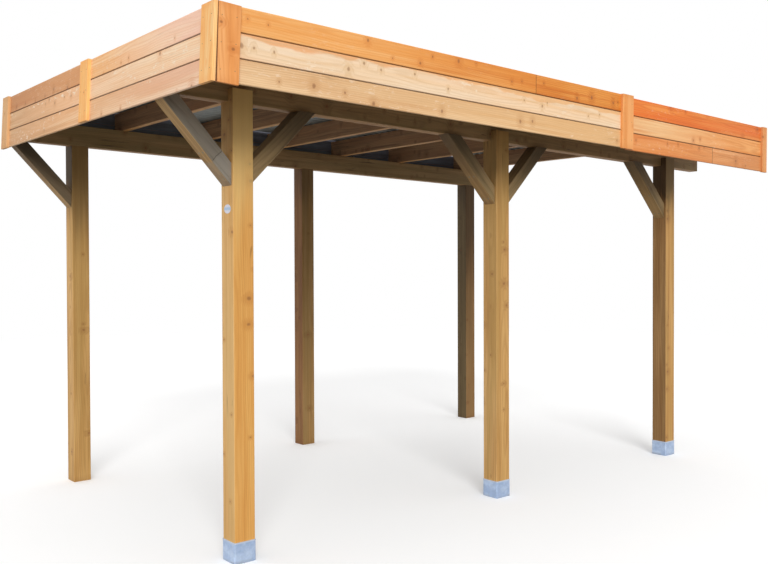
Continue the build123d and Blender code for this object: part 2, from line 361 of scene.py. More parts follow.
class Timber:
    """The finish of one timber or board: four colours, how far the tint takes over, and how knotty,
    grey, split or flecked it is."""

    def __init__(self, base, pale, deep, tint=None, *, knots, shakes, tinted=0.0, grey=0.0,
                 flecks=0.0):
        self.colours = {"Pale": rgb(*pale), "Base": rgb(*base), "Deep": rgb(*deep),
                        "Tint": rgb(*(tint or base))}
        self.numbers = {"Tint Amount": tinted, "Knots": knots, "Grey": grey, "Shakes": shakes,
                        "Flecks": flecks}


def finish_timber(tree, shader, values):
    """Gives a shader the timber's roughness and grain, and returns its colour."""
    timber = put(tree, "ShaderNodeGroup", node_tree=TIMBER)
    for key, value in values.items():
        feed(tree, timber.inputs[key], value)
    feed(tree, shader.inputs["Base Color"], timber.outputs["Color"])
    feed(tree, shader.inputs["Roughness"], timber.outputs["Roughness"])
    feed(tree, shader.inputs["Normal"], bump(tree, timber.outputs["Height"], *TIMBER_BUMP))
    shader.inputs["Specular IOR Level"].default_value = TIMBER_GLOSS
    return timber.outputs["Color"]


def by_row(tree, row, values):
    """The colour or number of the board in that row, counted from the lowest."""
    count = len(values)
    place = calc(tree, "DIVIDE", calc(tree, "ADD", row, 0.5), count)
    node = put(tree, "ShaderNodeValToRGB", {0: place})
    ramp = node.color_ramp
    ramp.interpolation = "CONSTANT"
    for index, value in enumerate(values):
        if index > 1:
            ramp.elements.new(index / count)
        element = ramp.elements[index]
        element.position = index / count
        element.color = value if isinstance(value, tuple) else (value, value, value, 1.0)
    return node.outputs[0]


def local_place(tree, place, centre, turn):
    """The place measured from the timber's centre, with x along the timber."""
    inputs = {"Vector": place, "Location": centre, "Rotation": turn}
    return put(tree, "ShaderNodeMapping", inputs, vector_type="TEXTURE").outputs[0]


def middle(node):
    low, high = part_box(node)
    return (low + high) / 2


def half_sizes(node):
    low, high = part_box(node)
    return (high - low) / 2


def paint(node, material):
    """Gives a CAD node its material."""
    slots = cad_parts[node].data.materials
    slots.clear()
    slots.append(material)


def paint_single(node, turn, half, finish, seed, faces=None):
    """A timber of one piece. faces maps a direction to the finish of the faces that look there."""
    material, tree, shader, place = new_material(f"timber_{node}")
    here = local_place(tree, place, middle(node), turn)
    colours, numbers = dict(finish.colours), dict(finish.numbers)
    for direction, other in (faces or {}).items():
        share = face_share(tree, direction)
        for key, value in other.colours.items():
            colours[key] = mix(tree, share, colours[key], value)
        for key, value in other.numbers.items():
            if value != finish.numbers[key]:
                numbers[key] = mix_numbers(tree, share, numbers[key], value)
    values = {"Place": here, "Seed": seed, **colours, **numbers, "Half Length": half[0],
              "Half Depth": half[1], "Half Height": half[2]}
    colour = finish_timber(tree, shader, values)
    paint(node, material)
    return tree, shader, here, colour


# --- panels of boards ---
ROW_SEED, JOINT_SEED = 3.7, 11.3
# A half length past any panel's, so that no end of a board counts as soaked.
ENDLESS, BOARD_HALF_DEPTH = 9.0, 0.010
# The ragged band of tint along a board's upper edge.
BAND_RAGGED, BAND_START, BAND_FULL, BAND_STRENGTH = 0.13, 0.096, 0.110, 0.75
# How far from a board's edge the shade of a groove begins and is full.
GROOVE_START, GROOVE_FULL = 0.0056, 0.0026
GROOVE_COLOUR, GROOVE_STRENGTH = rgb(92, 50, 26), 0.55
# How far from a butt joint its dark line begins and is full.
JOINT_START, JOINT_FULL, JOINT_COLOUR = 0.0022, 0.0010, rgb(48, 28, 16)
# Painted shade on the faces that look into the roof: two blue-greys and how strongly they cover.
INSIDE_SHADE, INSIDE_SHADE_DARK, INSIDE_SHADE_STRENGTH = rgb(112, 124, 140), rgb(84, 92, 102), 0.95


def in_row(tree, row, wanted):
    return calc(tree, "COMPARE", row, float(wanted), 0.1)


def paint_panel(node, turn, finishes, seed, joint=None, edge_tint=None, shaded_inside=False):
    """A panel of boards one above another. finishes has the two finishes that each board drifts
    between, from the lowest board up. joint is (row, place along): two boards meet there.
    edge_tint is a row whose tint runs along its upper edge in a ragged band, and the last flag puts
    a blue-grey painted shade on the faces that look into the roof."""
    material, tree, shader, place = new_material(f"timber_{node}")
    here = local_place(tree, place, middle(node), turn)
    along, across, level = axes(tree, here)
    rows = len(finishes)
    height = calc(tree, "ADD", level, rows * BOARD_COVER / 2)
    height = calc(tree, "DIVIDE", height, BOARD_COVER)
    row = calc(tree, "MINIMUM", calc(tree, "FLOOR", height), rows - 1.0)
    row = calc(tree, "MAXIMUM", row, 0.0)
    up = times(tree, minus(tree, minus(tree, height, row), 0.5), BOARD_COVER)
    board = joined(tree, along, across, up)
    board_seed = scale_add(tree, row, ROW_SEED, seed)

    reach = max(half_sizes(node)) * 0.9
    wander = times(tree, streaks(tree, board, 2.0, 9.0, 3.0), reach * 0.8)
    drift = step(tree, calc(tree, "ADD", along, wander), -reach * 0.6, reach * 1.4)
    values = {}
    for key in finishes[0][0].colours:
        ends = [by_row(tree, row, [pair[end].colours[key] for pair in finishes])
                for end in (0, 1)]
        values[key] = mix(tree, drift, *ends)
    for key in finishes[0][0].numbers:
        values[key] = by_row(tree, row, [pair[0].numbers[key] for pair in finishes])
    if edge_tint is not None:
        ragged = streaks(tree, here, 2.4, 8.0, 4.0, 0.6)
        band = step(tree, scale_add(tree, ragged, BAND_RAGGED, up), BAND_START, BAND_FULL)
        share = times(tree, times(tree, band, in_row(tree, row, edge_tint)), BAND_STRENGTH)
        for key in ("Base", "Pale"):
            values[key] = mix(tree, share, values[key], values["Tint"])
    line = None
    if joint is not None:
        joint_row, joint_place = joint
        is_row = in_row(tree, row, joint_row)
        offset = minus(tree, along, joint_place)
        line = times(tree, step(tree, size_of(tree, offset), JOINT_START, JOINT_FULL), is_row)
        beyond = times(tree, calc(tree, "GREATER_THAN", offset, 0.0), is_row)
        board_seed = scale_add(tree, beyond, JOINT_SEED, board_seed)
    values.update({"Place": board, "Seed": board_seed, "Half Length": ENDLESS,
                   "Half Depth": BOARD_HALF_DEPTH, "Half Height": BOARD_COVER / 2})
    colour = finish_timber(tree, shader, values)

    # Dirt and shade in the grooves between the boards, not along the panel's own edges.
    edge = BOARD_COVER / 2
    groove = step(tree, size_of(tree, up), edge - GROOVE_START, edge - GROOVE_FULL)
    from_middle = size_of(tree, minus(tree, height, rows / 2))
    inner = step(tree, from_middle, rows / 2 - 0.1, rows / 2 - 0.2)
    groove = times(tree, times(tree, groove, inner), GROOVE_STRENGTH)
    colour = mix(tree, groove, colour, GROOVE_COLOUR)
    if line is not None:
        colour = mix(tree, line, colour, JOINT_COLOUR)
    # Painted shade, blue-grey and patchy, on the faces that look into the roof.
    if shaded_inside:
        wear_and_shade_patches = step(tree, streaks(tree, here, 2.0, 30.0, 4.0), 0.35, 0.75)
        share = times(tree, face_share(tree, TO_NEAR_SIDE), INSIDE_SHADE_STRENGTH)
        colour = mix(tree, share, colour, mix(tree, wear_and_shade_patches, INSIDE_SHADE, INSIDE_SHADE_DARK))
    feed(tree, shader.inputs["Base Color"], colour)
    paint(node, material)


# --- posts ---
POST_SEED, POST_SEED_STEP = 1.3, 2.17
SOOT_SHADE, UMBER_SHADE, OLIVE_SHADE, STRAW_LIGHT = rgb(52, 42, 30), rgb(74, 58, 40), rgb(112, 96, 60), rgb(230, 196, 128)
# The painted shade at the head of each post, under the roof: its colour, strength and the levels
# between which it comes in, first for most faces and then for the one that looks along -Y. On the
# near front post's -Y face the tone is pale, painted light instead.
POST_HEAD_SHADING = {
    "near_post_front": ((OLIVE_SHADE, 0.25, 0.95, 1.30), (STRAW_LIGHT, 0.70, 0.60, 1.20)),
    "near_post_middle": ((OLIVE_SHADE, 0.35, 0.95, 1.30), (OLIVE_SHADE, 0.05, 0.95, 1.30)),
    "near_post_rear": ((UMBER_SHADE, 0.80, 1.00, 1.15), (OLIVE_SHADE, 0.75, 0.95, 1.30)),
    "far_post_front": ((SOOT_SHADE, 0.87, 0.80, 1.15), (UMBER_SHADE, 0.42, 0.55, 1.05)),
    "far_post_middle": ((UMBER_SHADE, 0.50, 0.95, 1.30), (UMBER_SHADE, 0.42, 0.95, 1.30)),
    "far_post_rear": ((UMBER_SHADE, 0.60, 0.95, 1.30), (SOOT_SHADE, 0.60, 0.30, 0.95)),
}


def paint_posts():
    golden = Timber((224, 174, 106), (236, 192, 130), (194, 138, 76), (214, 176, 116),
                    tinted=0.5, knots=0.30, shakes=0.5)
    amber = Timber((216, 158, 82), (226, 176, 102), (186, 122, 56), (212, 150, 76),
                   tinted=0.6, knots=0.30, shakes=0.4)
    tan = Timber((206, 158, 96), (222, 178, 118), (172, 124, 72), (190, 152, 88),
                 tinted=0.5, knots=0.30, shakes=0.6)
    oak = Timber((190, 142, 80), (206, 162, 100), (158, 112, 60), (178, 142, 80),
                 tinted=0.5, knots=0.30, shakes=0.5)
    brown = Timber((156, 114, 66), (176, 134, 84), (120, 82, 46), (138, 106, 64),
                   tinted=0.6, knots=0.30, grey=0.05, shakes=0.7)
    russet = Timber((152, 104, 62), (170, 124, 78), (112, 72, 42), (134, 92, 54),
                    tinted=0.6, knots=0.30, grey=0.05, shakes=0.6)
    bark = Timber((164, 124, 70), (178, 140, 88), (128, 94, 52), (146, 116, 68),
                  tinted=0.6, knots=0.30, grey=0.05, shakes=0.6)
    dark = Timber((108, 88, 56), (124, 102, 68), (84, 67, 42), (104, 86, 54),
                  tinted=0.6, knots=0.30, grey=0.05, shakes=0.7)
    finishes = {
        "near_post_front": (golden, amber), "near_post_middle": (tan, oak),
        "near_post_rear": (brown, oak), "far_post_front": (tan, oak),
        "far_post_middle": (russet, bark), "far_post_rear": (dark, brown),
    }
    for number, (node, (front, side)) in enumerate(finishes.items()):
        half = half_sizes(node)
        seed = POST_SEED + number * POST_SEED_STEP
        parts = paint_single(node, UPRIGHT, (half.z, half.y, half.x), front, seed,
                             {TO_NEAR_SIDE: side})
        shade_post_head(*parts, POST_HEAD_SHADING[node])


def head_shading(tree, colour, level, painted_tone, strength, low, high):
    """A tone that comes in between two levels: painted shade if darker, painted light if paler."""
    return mix(tree, times(tree, step(tree, level, low, high), strength), colour, painted_tone)


def shade_post_head(tree, shader, here, colour, head_shades):
    """Painted shade on a post's head, per face; on the near front post's -Y face, painted light."""
    ragged = streaks(tree, here, 1.6, 22.0, 3.0)
    level = scale_add(tree, ragged, 0.5, axes(tree, here)[0])
    faces = [head_shading(tree, colour, level, *head) for head in head_shades]
    colour = mix(tree, face_share(tree, TO_NEAR_SIDE), *faces)
    feed(tree, shader.inputs["Base Color"], colour)


# --- beams, rafters and braces ---
BEAM_SEED, BEAM_SEED_STEP = 21.0, 3.3
RAFTER_SEED, RAFTER_SEED_STEP = 31.0, 1.9
BRACE_SEED, BRACE_SEED_STEP = 51.0, 2.7
# Painted shade at a brace's head: its colour, strength and the heights between which it comes in.
BRACE_HEAD_SHADE = (rgb(62, 50, 34), 0.75, 2.05, 2.40)
CRACKED_BRACE = "near_brace_front_forward"
# The crack's place along the brace, how far it wanders, and its half width and darkest core.
CRACK_PLACE, CRACK_WANDER, CRACK_HALF, CRACK_CORE = 0.135, 0.012, 0.0028, 0.0008
CRACK_COLOUR, PALE_FOOT = rgb(60, 52, 44), rgb(168, 162, 152)


def paint_frame():
    beam = Timber((162, 128, 84), (182, 146, 100), (122, 92, 56), (138, 116, 72),
                  tinted=0.6, knots=0.55, grey=0.1, shakes=0.6)
    rafter = Timber((162, 124, 94), (186, 146, 110), (118, 86, 62), (170, 120, 84),
                    tinted=0.5, knots=0.55, shakes=0.4)
    # Lower faces: warmer tan on beams, paler tan on rafters, both painted light from below.
    beam_underside_light = Timber((166, 122, 74), (186, 142, 90), (128, 90, 50), knots=0.40, shakes=0.3)
    rafter_underside_light = Timber((204, 150, 92), (222, 172, 112), (156, 106, 60), knots=0.40, shakes=0.3)
    for number, node in enumerate(("near_beam", "far_beam")):
        half = half_sizes(node)
        paint_single(node, ALONG_ROOF, (half.x, half.y, BEAM_HALF_HEIGHT), beam,
                     BEAM_SEED + number * BEAM_SEED_STEP, {DOWNWARD: beam_underside_light})
    for number, node in enumerate([*RAFTERS, "rear_batten"]):
        half = half_sizes(node)
        paint_single(node, ACROSS_ROOF, (half.y, half.x, half.z), rafter,
                     RAFTER_SEED + number * RAFTER_SEED_STEP, {DOWNWARD: rafter_underside_light})


def brace_tilt(node):
    return -BRACE_TILT if node.endswith("back") else BRACE_TILT


def brace_up(node):
    """The direction square to a brace's lower face, up into the brace."""
    tilt = brace_tilt(node)
    return Vector((math.sin(tilt), 0.0, math.cos(tilt)))


def paint_braces():
    olive = Timber((150, 124, 82), (174, 144, 98), (104, 80, 50), (132, 112, 72),
                   tinted=0.6, knots=0.25, grey=0.1, shakes=0.5)
    # tan is a brace's lower face, paler than its sides: painted light from below.
    tan = Timber((186, 146, 94), (206, 168, 114), (132, 96, 56), knots=0.2, shakes=0.4)
    weathered = Timber((138, 128, 112), (160, 148, 130), (96, 84, 70), (120, 112, 96),
                       tinted=0.6, knots=0.2, grey=0.75, shakes=0.9)
    slate = Timber((120, 100, 74), (142, 120, 90), (86, 70, 48), (108, 92, 66),
                   tinted=0.6, knots=0.25, grey=0.15, shakes=0.6)
    sides = {CRACKED_BRACE: weathered, "far_brace_front_forward": slate}
    names = [CRACKED_BRACE, "near_brace_front_back", "near_brace_middle_forward",
             "near_brace_middle_back", "near_brace_rear_forward", "far_brace_front_forward"]
    for number, node in enumerate(names):
        parts = paint_single(node, (0.0, brace_tilt(node), 0.0), BRACE_HALF,
                             sides.get(node, olive), BRACE_SEED + number * BRACE_SEED_STEP,
                             {tuple(-brace_up(node)): tan})
        if node == CRACKED_BRACE:
            crack_across(*parts)
        else:
            shade_brace_head(*parts)


def shade_brace_head(tree, shader, here, colour):
    """The head of a brace is darker: painted shade under the roof."""
    ragged = streaks(tree, here, 3.0, 20.0, 3.0)
    level = scale_add(tree, ragged, 0.16, axes(tree, object_place(tree))[2])
    feed(tree, shader.inputs["Base Color"], head_shading(tree, colour, level, *BRACE_HEAD_SHADE))


def crack_across(tree, shader, here, colour):
    """A short crack across the brace near its foot, and paler wood below it."""
    x, _, z = axes(tree, here)
    along = scale_add(tree, streaks(tree, here, 8.0, 30.0, 3.0), CRACK_WANDER, x)
    offset = size_of(tree, minus(tree, along, CRACK_PLACE))
    line = step(tree, offset, CRACK_HALF, CRACK_CORE)
    line = times(tree, line, face_share(tree, TO_NEAR_SIDE))
    line = times(tree, line, step(tree, z, -0.022, -0.006))
    below = times(tree, step(tree, along, CRACK_PLACE - 0.005, CRACK_PLACE + 0.015), 0.35)
    colour = mix(tree, below, colour, PALE_FOOT)
    colour = mix(tree, times(tree, line, 0.7), colour, CRACK_COLOUR)
    feed(tree, shader.inputs["Base Color"], colour)


# --- fascia boards, listed from the lowest up ---
def paint_fascia():
    honey = Timber((241, 172, 98), (247, 192, 126), (220, 136, 66), (234, 158, 80),
                   tinted=0.6, knots=0.55, shakes=0.1, flecks=0.1)
    amber = Timber((214, 124, 42), (228, 148, 66), (184, 94, 24), (220, 130, 44),
                   tinted=0.6, knots=0.45, shakes=0.1, flecks=0.1)
    cream = Timber((244, 212, 174), (252, 224, 192), (220, 182, 134), (240, 162, 92),
                   tinted=0.22, knots=0.45, grey=0.10, shakes=0.1, flecks=0.5)
    wheat = Timber((242, 208, 168), (250, 220, 184), (218, 176, 126), (240, 178, 112),
                   tinted=0.30, knots=0.45, grey=0.10, shakes=0.1, flecks=0.5)
    tan = Timber((228, 184, 136), (240, 202, 156), (198, 146, 96), (214, 164, 110),
                 tinted=0.6, knots=0.45, grey=0.05, shakes=0.2, flecks=0.3)
    straw = Timber((230, 184, 130), (240, 200, 150), (202, 150, 98), (226, 178, 122),
                   tinted=0.6, knots=0.40, grey=0.05, shakes=0.2, flecks=0.4)
    peach = Timber((252, 212, 180), (255, 222, 194), (236, 176, 132), (250, 200, 176),
                   tinted=0.7, knots=0.41, shakes=0.1, flecks=0.3)
    apricot = Timber((250, 194, 136), (255, 212, 164), (228, 156, 96), (246, 184, 122),
                     tinted=0.7, knots=0.41, shakes=0.1, flecks=0.3)
    blush = Timber((255, 218, 178), (255, 228, 196), (240, 180, 132), (250, 198, 160),
                   tinted=0.6, knots=0.38, shakes=0.1, flecks=0.7)
    sand = Timber((248, 206, 164), (254, 218, 182), (226, 166, 118), (244, 186, 136),
                  tinted=0.7, knots=0.41, shakes=0.1, flecks=0.8)
    shell = Timber((248, 206, 172), (255, 222, 192), (226, 166, 126), (240, 184, 150),
                   tinted=0.7, knots=0.38, grey=0.05, shakes=0.1, flecks=0.7)
    clay = Timber((240, 188, 138), (250, 208, 166), (212, 150, 100), (234, 174, 122),
                  tinted=0.7, knots=0.41, shakes=0.1, flecks=0.6)
    dusk = Timber((230, 170, 118), (240, 190, 144), (194, 132, 82), (220, 154, 100),
                  tinted=0.7, knots=0.45, grey=0.05, shakes=0.2, flecks=0.2)
    umber = Timber((208, 150, 104), (222, 172, 128), (170, 112, 68), (200, 136, 88),
                   tinted=0.7, knots=0.45, grey=0.05, shakes=0.2, flecks=0.2)
    biscuit = Timber((214, 172, 128), (232, 196, 156), (184, 138, 94), (210, 160, 116),
                     tinted=0.6, knots=0.41, grey=0.05, shakes=0.2, flecks=0.6)
    rust = Timber((232, 128, 52), (240, 150, 74), (200, 92, 34), (232, 112, 42),
                  tinted=0.7, knots=0.55, shakes=0.2, flecks=0.15)
    copper = Timber((218, 116, 52), (232, 144, 78), (184, 86, 34), (222, 104, 42),
                    tinted=0.7, knots=0.45, shakes=0.2, flecks=0.15)
    ember = Timber((230, 150, 78), (242, 200, 150), (198, 108, 48), (240, 196, 142),
                   tinted=0.7, knots=0.41, shakes=0.2, flecks=0.4)
    glow = Timber((226, 150, 82), (238, 172, 108), (194, 112, 52), (228, 140, 70),
                  tinted=0.6, knots=0.41, shakes=0.2, flecks=0.2)
    brick = Timber((228, 146, 78), (236, 166, 104), (194, 110, 54), (220, 128, 64),
                   tinted=0.7, knots=0.45, shakes=0.2, flecks=0.2)
    walnut = Timber((222, 156, 100), (236, 178, 126), (182, 116, 68), (208, 134, 80),
                    tinted=0.7, knots=0.45, grey=0.05, shakes=0.2, flecks=0.3)
    near_front = [(tan, straw), (cream, wheat), (honey, amber)]
    near_rear = [(brick, walnut), (ember, glow), (rust, copper)]
    front_near = [(shell, clay), (blush, sand), (peach, apricot)]
    front_far = [(clay, biscuit), (sand, biscuit), (dusk, umber)]
    paint_panel("near_fascia_front", ALONG_ROOF, near_front, 62.0, joint=(2, 0.60), edge_tint=1)
    paint_panel("near_fascia_rear", ALONG_ROOF, near_rear, 67.0, joint=(0, 0.145))
    paint_panel("front_fascia_near", ACROSS_ROOF, front_near, 73.0)
    paint_panel("front_fascia_far", ACROSS_ROOF, front_far, 79.0)
    paint_panel("far_fascia_front", ALONG_ROOF, near_front[1:], 83.0, shaded_inside=True)
    paint_panel("far_fascia_rear", ALONG_ROOF, near_rear[1:], 89.0, shaded_inside=True)


# --- trims ---
TRIM_SEED, TRIM_SEED_STEP = 97.0, 1.7
FRONT_TRIMS = ("near_corner_board_front", "front_batten_middle", "far_corner_board_front")
# A front trim leans, so its box says nothing about its faces: any part of it counts as a face.
LEANING_HALF = 0.003
# The dark joint at a corner: its width at the foot, and how much of that is gone at the head.
SEAM_WIDTH, SEAM_TAPER = 0.0085, 0.0050
SEAM_COLOUR, SEAM_STRENGTH = rgb(74, 36, 16), 0.85
NAIL_RADIUS, NAIL_INSET = 0.0026, 0.022
NAIL_COLOUR, NAIL_STRENGTH = rgb(140, 112, 82), 0.75


def paint_trims():
    bright = Timber((255, 194, 118), (255, 208, 144), (246, 162, 84), (255, 182, 102),
                    tinted=0.6, knots=0.50, shakes=0.1)
    warm = Timber((234, 156, 86), (242, 174, 110), (208, 124, 58), (238, 168, 104),
                  tinted=0.5, knots=0.50, shakes=0.1)
    pale = Timber((224, 176, 124), (236, 194, 144), (198, 144, 92), (218, 160, 104),
                  tinted=0.6, knots=0.45, grey=0.05, shakes=0.2)
    ochre = Timber((226, 152, 90), (236, 172, 112), (196, 118, 62), (220, 140, 78),
                   tinted=0.6, knots=0.55, grey=0.05, shakes=0.2)
    finishes = {
        "near_corner_board_front": bright, "front_batten_middle": bright,
        "far_corner_board_front": pale, "near_corner_board_side": warm,
        "near_batten_middle": warm, "near_batten_rear": ochre,
        "far_corner_board_side": warm, "far_batten_middle": warm, "far_batten_rear": pale,
    }
    for number, (node, finish) in enumerate(finishes.items()):
        half = half_sizes(node)
        depth = LEANING_HALF if node in FRONT_TRIMS else half.x
        tree, shader, _, colour = paint_single(node, UPRIGHT, (half.z, half.y, depth), finish,
                                               TRIM_SEED + number * TRIM_SEED_STEP)
        if "corner_board_side" in node:
            colour = darken_seam(node, tree, colour)
        if node not in FRONT_TRIMS:
            colour = mark_nails(node, tree, colour)
        feed(tree, shader.inputs["Base Color"], colour)


def trim_layout(node):
    """How far a trim leans, how wide it is and how many boards it covers."""
    low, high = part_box(node)
    height = high.z - low.z
    at_front = node in FRONT_TRIMS
    lean = ROOF_FALL + FASCIA_LEAN if at_front or "corner" in node else ROOF_FALL
    width = high.y - low.y if at_front else high.x - low.x - height * math.tan(lean)
    return lean, width, max(1, round(height / BOARD_COVER))


def mark_nails(node, tree, colour):
    """Nail heads driven flush, on the trims whose faces are the outermost of the object."""
    low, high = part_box(node)
    lean, width, rows = trim_layout(node)
    gap = (high.z - low.z) / rows
    x, _, z = axes(tree, object_place(tree))
    rise = minus(tree, z, low.z)
    centre = scale_add(tree, rise, math.tan(lean), low.x + width / 2)
    across = minus(tree, size_of(tree, minus(tree, x, centre)), width / 2 - NAIL_INSET)
    along = minus(tree, calc(tree, "FRACT", calc(tree, "DIVIDE", rise, gap)), 0.5)
    reach = length_of(tree, joined(tree, across, times(tree, along, gap)))
    head = step(tree, reach, NAIL_RADIUS * 1.1, NAIL_RADIUS * 0.9)
    return mix(tree, times(tree, head, NAIL_STRENGTH), colour, NAIL_COLOUR)


def darken_seam(node, tree, colour):
    """The shaded joint along the front edge of a side corner board; it gapes towards its foot."""
    low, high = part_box(node)
    x, _, z = axes(tree, object_place(tree))
    rise = minus(tree, z, low.z)
    leaned = times(tree, rise, math.tan(ROOF_FALL + FASCIA_LEAN))
    inward = minus(tree, minus(tree, x, low.x), leaned)
    share = calc(tree, "DIVIDE", rise, high.z - low.z)
    width = scale_add(tree, share, -SEAM_TAPER, SEAM_WIDTH)
    seam = calc(tree, "LESS_THAN", inward, width)
    return mix(tree, times(tree, seam, SEAM_STRENGTH), colour, SEAM_COLOUR)


# --- metal ---
# How far painted shade darkens the shoes' faces along -Y, and where their rim (a painted
# highlight) and soil lie.
SHOE_NEAR_SHADE, RIM_START, RIM_FULL, SOIL_TOP = 0.16, 0.010, 0.004, 0.022


def paint_shoes():
    """Hot-dip zinc: a pale blue-grey with spangle and dull patches. Painted shade darkens the faces
    along -Y, and a painted highlight brightens the rim.
    """
    material, tree, shader, place = new_material("galvanised_shoe")
    inputs = {"Vector": place, "Scale": 85.0}
    spangle = put(tree, "ShaderNodeTexVoronoi", inputs).outputs["Color"]
    spangle = channels(tree, spangle)[0]
    cloud = noise(tree, place, 14.0, 4.0, 0.6)
    clouded = step(tree, cloud, 0.35, 0.65)
    colour = mix(tree, clouded, rgb(166, 188, 222), rgb(194, 212, 238))
    # Painted shade on the faces that look along -Y.
    near_face_shade = scale_add(tree, face_share(tree, TO_NEAR_SIDE), -SHOE_NEAR_SHADE, 1.0)
    shade = times(tree, scale_add(tree, spangle, 0.10, 0.95), near_face_shade)
    colour = toned(tree, colour, shade)
    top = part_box("post_shoe_front")[1].z
    height = axes(tree, place)[2]
    # A painted highlight along the top rim.
    rim = step(tree, height, top - RIM_START, top - RIM_FULL)
    colour = mix(tree, times(tree, rim, 0.5), colour, rgb(214, 220, 226))
    soil = times(tree, step(tree, height, SOIL_TOP, 0.0), step(tree, cloud, 0.40, 0.60))
    colour = mix(tree, times(tree, soil, 0.5), colour, rgb(138, 138, 140))
    grain = calc(tree, "ADD", spangle, noise(tree, place, 240.0))
    coat(tree, shader, colour, scale_add(tree, cloud, 0.25, 0.34), grain, (0.18, 0.0006), 0.35)
    for name in ("front", "middle", "rear"):
        paint(f"post_shoe_{name}", material)


def paint_sheets():
    """Coated corrugated sheet: grey, with dust in the troughs and faint rolling marks."""
    material, tree, shader, place = new_material("coated_sheet")
    cloud = streaks(tree, place, 0.8, 6.0, 4.0, 0.6)
    clouded = step(tree, cloud, 0.35, 0.65)
    colour = mix(tree, clouded, rgb(126, 131, 130), rgb(150, 154, 150))
    rolled = streaks(tree, place, 1.2, 90.0, 3.0, 0.6)
    share = times(tree, step(tree, rolled, 0.5, 0.7), 0.30)
    colour = mix(tree, share, colour, rgb(174, 176, 170))
    dust = step(tree, streaks(tree, place, 3.0, 16.0, 4.0, 0.65), 0.48, 0.68)
    dust = times(tree, dust, face_share(tree, UPWARD, 0.2, 0.9))
    colour = mix(tree, times(tree, dust, 0.45), colour, rgb(150, 138, 116))
    grain = calc(tree, "ADD", noise(tree, place, 320.0), rolled)
    coat(tree, shader, colour, scale_add(tree, cloud, 0.30, 0.30), grain, (0.12, 0.0006), 0.20)
    for node in SHEETS:
        paint(node, material)


def fixing_material(name, dark, light, metallic):
    material, tree, shader, place = new_material(name)
    cloud = noise(tree, place, 260.0, 3.0, 0.6)
    rough = scale_add(tree, cloud, 0.25, 0.35)
    coat(tree, shader, mix(tree, cloud, dark, light), rough, cloud, (0.2, 0.0003), metallic)
    return material


# --- fixings ---
HEAD_SIDES = 12
# Heads: radius, height, how deep the foot sits in the face and, on a screw, the socket's radius.
NAIL = (NAIL_RADIUS, 0.0008, 0.0004)
SHEET_SCREW = (0.0075, 0.0030, 0.0008, 0.0026)
BRACE_SCREW = (0.0060, 0.0022, 0.0010, 0.0022)
# Where screws sit: shares of a brace's length from its foot, and of its width from its middle.
BRACE_SCREW_SHARES, BRACE_SCREW_ASIDE = (0.16, 0.80), 0.225


def add_head(mesh, place, normal, radius, height, depth, socket=0.0):
    """A low domed head on a face; with a socket it is a screw with a recess in its crown."""
    foot = place - normal * depth
    turn = normal.to_track_quat("Z", "Y").to_matrix()
    profile = [(radius, 0.0), (radius, height * 0.35), (radius * 0.80, height * 0.85),
               (radius * 0.45, height)]
    if socket:
        profile += [(socket, height), (socket * 0.8, height * 0.3)]
    loops = []
    for ring_radius, level in profile:
        ring = []
        for side in range(HEAD_SIDES):
            angle = math.tau * side / HEAD_SIDES
            point = Vector((ring_radius * math.cos(angle), ring_radius * math.sin(angle), level))
            ring.append(mesh.verts.new(foot + turn @ point))
        loops.append(ring)
    for lower, upper in zip(loops, loops[1:]):
        for side in range(HEAD_SIDES):
            after = (side + 1) % HEAD_SIDES
            mesh.faces.new((lower[side], lower[after], upper[after], upper[side]))
    mesh.faces.new(loops[-1])


def make_piece(name, mesh, material):
    data = bpy.data.meshes.new(name)
    mesh.normal_update()
    mesh.to_mesh(data)
    mesh.free()
    piece = bpy.data.objects.new(name, data)
    bpy.context.scene.collection.objects.link(piece)
    data.materials.append(material)
    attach(piece, "root")


def make_nails():
    """Two nails through each front trim into each board behind it."""
    mesh = bmesh.new()
    for node in FRONT_TRIMS:
        low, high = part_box(node)
        lean, width, rows = trim_layout(node)
        normal = Vector((-math.cos(lean), 0.0, math.sin(lean)))
        for row in range(rows):
            rise = (row + 0.5) * (high.z - low.z) / rows
            for side in (-1, 1):
                y = (low.y + high.y) / 2 + side * (width / 2 - NAIL_INSET)
                place = Vector((low.x + rise * math.tan(lean), y, low.z + rise))
                add_head(mesh, place, normal, *NAIL)
    material = fixing_material("nail_zinc", rgb(120, 96, 70), rgb(160, 130, 96), 0.5)
    make_piece("trim_nails", mesh, material)


def make_sheet_screws():
    """Screws through every third crest of the sheets into four of the rafters."""
    mesh = bmesh.new()
    start_y, end_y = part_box(SHEETS[0])[0].y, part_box(SHEETS[-1])[1].y
    normal = Vector((math.sin(ROOF_FALL), 0.0, math.cos(ROOF_FALL)))
    crests = int((end_y - start_y) / WAVE_PITCH)
    for node in ("rafter_1", "rafter_3", "rafter_5", "rafter_rear"):
        for crest in range(1, crests, 3):
            top = sheet_top(middle(node).x, start_y + (crest + 0.25) * WAVE_PITCH)
            if top is not None:
                add_head(mesh, top, normal, *SHEET_SCREW)
    material = fixing_material("screw_zinc", rgb(150, 154, 158), rgb(196, 200, 204), 0.7)
    make_piece("sheet_screws", mesh, material)


def sheet_top(x, y):
    """The highest point of the roof sheets over a place, or None."""
    above, down = Vector((x, y, cad_high.z + 1.0)), Vector(DOWNWARD)
    casts = [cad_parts[node].ray_cast(above, down) for node in SHEETS]
    return max((cast[1] for cast in casts if cast[0]), key=lambda place: place.z, default=None)


